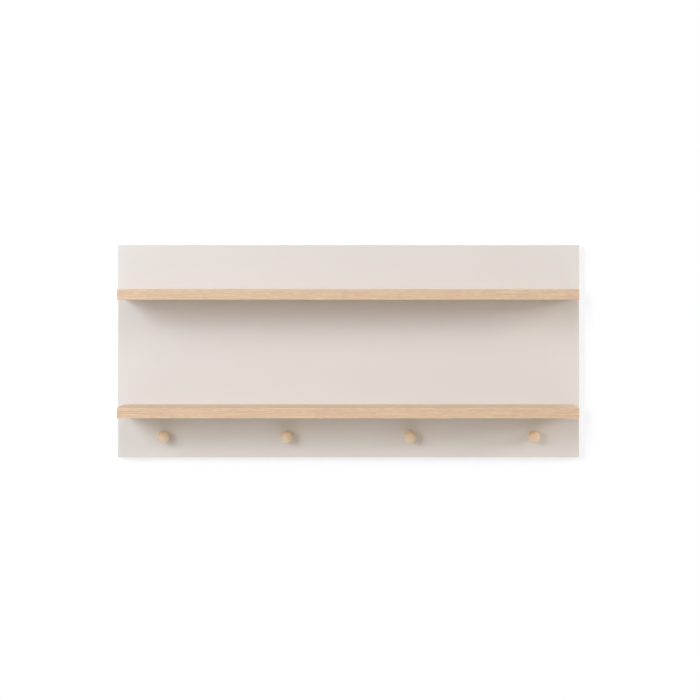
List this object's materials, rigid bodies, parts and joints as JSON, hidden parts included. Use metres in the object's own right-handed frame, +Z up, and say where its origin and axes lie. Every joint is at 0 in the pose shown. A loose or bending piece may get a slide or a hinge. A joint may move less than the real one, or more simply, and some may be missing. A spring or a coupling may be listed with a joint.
{
  "type": "wall shelf with pegs",
  "caption": "Painted wall panel that carries wooden shelves, with a row of turned pegs below them for hanging things.",
  "frame": {"origin": "middle of the back panel's rear face, which lies on the wall", "axes": "+X to the right as one faces the shelf, +Y into the wall, +Z up"},
  "size_m": [0.8, 0.138, 0.368],
  "materials": {
    "panel_paint": "satin greige paint on board, finely rolled",
    "shelf_wood": "light ash, matt oil, straight grain along the shelf",
    "peg_wood": "light turned ash, matt oil, grain along the peg",
    "dowel_wood": "raw beech",
    "screw_steel": "bright zinc plate",
    "hanger_steel": "pressed sheet, zinc plate"
  },
  "bodies": {
    "root": {"back_panel": "panel_paint", "upper_shelf": "shelf_wood", "lower_shelf": "shelf_wood", "peg_1": "peg_wood", "peg_2": "peg_wood", "peg_3": "peg_wood", "peg_4": "peg_wood", "upper_shelf_dowels": "dowel_wood", "lower_shelf_dowels": "dowel_wood", "upper_shelf_screws": "screw_steel", "lower_shelf_screws": "screw_steel", "left_hanger_plate": "hanger_steel", "right_hanger_plate": "hanger_steel", "left_hanger_screws": "screw_steel", "right_hanger_screws": "screw_steel"}
  },
  "joints": []
}
